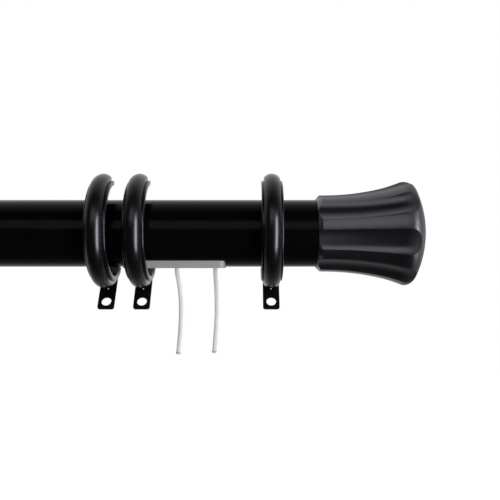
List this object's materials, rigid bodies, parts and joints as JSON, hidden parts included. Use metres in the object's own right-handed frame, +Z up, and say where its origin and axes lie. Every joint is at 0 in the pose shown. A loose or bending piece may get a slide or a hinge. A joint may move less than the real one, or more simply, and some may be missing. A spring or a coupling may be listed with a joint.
{
  "type": "traverse curtain rod",
  "caption": "Black traverse curtain rod with C-rings on carriers in a rear slot, a draw cord with hanging ends and fluted trumpet finials.",
  "frame": {"origin": "on the rod's axis at the middle of its length", "axes": "+X along the rod to the end with the cords, -Y to the room, +Y to the wall, +Z up"},
  "size_m": [0.789, 0.062, 0.1025],
  "materials": {
    "rod_black": "semi-gloss black enamel",
    "ring_black": "satin black enamel",
    "strap_black": "black enamel",
    "finial_black": "satin black enamel over cast resin",
    "zinc": "matte cast zinc",
    "rail_aluminium": "mill finish",
    "steel": "plated",
    "black_screw": "black oxide",
    "nylon": "moulded",
    "black_plastic": "moulded",
    "cord_white": "braided polyester"
  },
  "bodies": {
    "rod": {"rod_tube": "rod_black", "track_rail": "rail_aluminium", "rail_rivets": "black_screw", "cord_exit_housing": "zinc", "exit_axle_pins": "steel", "return_housing": "black_plastic", "return_axle_pin": "steel", "housing_screws": "black_screw", "finial_set_screws": "black_screw", "draw_cord_inner": "cord_white", "cord_end_left": "cord_white", "cord_end_right": "cord_white", "finial_right": "finial_black", "finial_left": "finial_black", "finial_insert_right": "black_plastic", "finial_insert_left": "black_plastic", "end_clamp_nut_right": "zinc", "end_clamp_nut_left": "zinc", "end_clamp_saddle_right": "black_plastic", "end_clamp_saddle_left": "black_plastic", "end_ring_right": "ring_black", "end_ring_left": "ring_black", "end_strap_right": "strap_black", "end_strap_left": "strap_black", "end_clamp_screws": "black_screw", "end_ring_screws": "black_screw"},
    "master_right": {"master_carrier_right": "nylon", "cord_clamp_screw_right": "steel", "master_ring_right": "ring_black", "master_strap_right": "strap_black", "master_rivet_right": "black_screw", "master_ring_screw_right": "black_screw"},
    "master_left": {"master_carrier_left": "nylon", "cord_clamp_screw_left": "steel", "master_ring_left": "ring_black", "master_strap_left": "strap_black", "master_rivet_left": "black_screw", "master_ring_screw_left": "black_screw"},
    "plain_right": {"glider_right": "nylon", "plain_ring_right": "ring_black", "plain_strap_right": "strap_black", "plain_rivet_right": "black_screw", "plain_ring_screw_right": "black_screw"},
    "plain_left": {"glider_left": "nylon", "plain_ring_left": "ring_black", "plain_strap_left": "strap_black", "plain_rivet_left": "black_screw", "plain_ring_screw_left": "black_screw"},
    "front_sheave": {"exit_sheave_front": "nylon"},
    "rear_sheave": {"exit_sheave_rear": "nylon"},
    "return_wheel": {"return_pulley": "nylon"}
  },
  "joints": [
    {"name": "draw_right", "type": "slide", "parent": "rod", "child": "master_right", "axis": [1, 0, 0], "range_m": [-0.2029, 0]},
    {"name": "draw_left", "type": "slide", "parent": "rod", "child": "master_left", "axis": [1, 0, 0], "range_m": [0, 0.2029]},
    {"name": "follow_right", "type": "slide", "parent": "rod", "child": "plain_right", "axis": [1, 0, 0], "range_m": [-0.0745, 0]},
    {"name": "follow_left", "type": "slide", "parent": "rod", "child": "plain_left", "axis": [1, 0, 0], "range_m": [0, 0.0745]},
    {"name": "front_sheave_spin", "type": "hinge", "parent": "rod", "child": "front_sheave", "pos_m": [0.2494, 0.00233, -0.01213], "axis": [0, 1, 0], "range_deg": [0, 2326.06]},
    {"name": "rear_sheave_spin", "type": "hinge", "parent": "rod", "child": "rear_sheave", "pos_m": [0.2712, 0.0075, -0.00475], "axis": [0, 1, 0], "range_deg": [-2326.06, 0]},
    {"name": "return_spin", "type": "hinge", "parent": "rod", "child": "return_wheel", "pos_m": [-0.2525, 0.00492, -0.00344], "axis": [0, -0.8192, 0.5736], "range_deg": [0, 2584.4]}
  ],
  "couplings": [
    {"joint": "draw_left", "follows": "draw_right", "ratio": -1},
    {"joint": "follow_right", "follows": "draw_right", "ratio": 0.366},
    {"joint": "follow_left", "follows": "draw_right", "ratio": -0.366},
    {"joint": "front_sheave_spin", "follows": "draw_right", "rad_per_m": -200},
    {"joint": "rear_sheave_spin", "follows": "draw_right", "rad_per_m": 200},
    {"joint": "return_spin", "follows": "draw_right", "rad_per_m": -222.22}
  ]
}
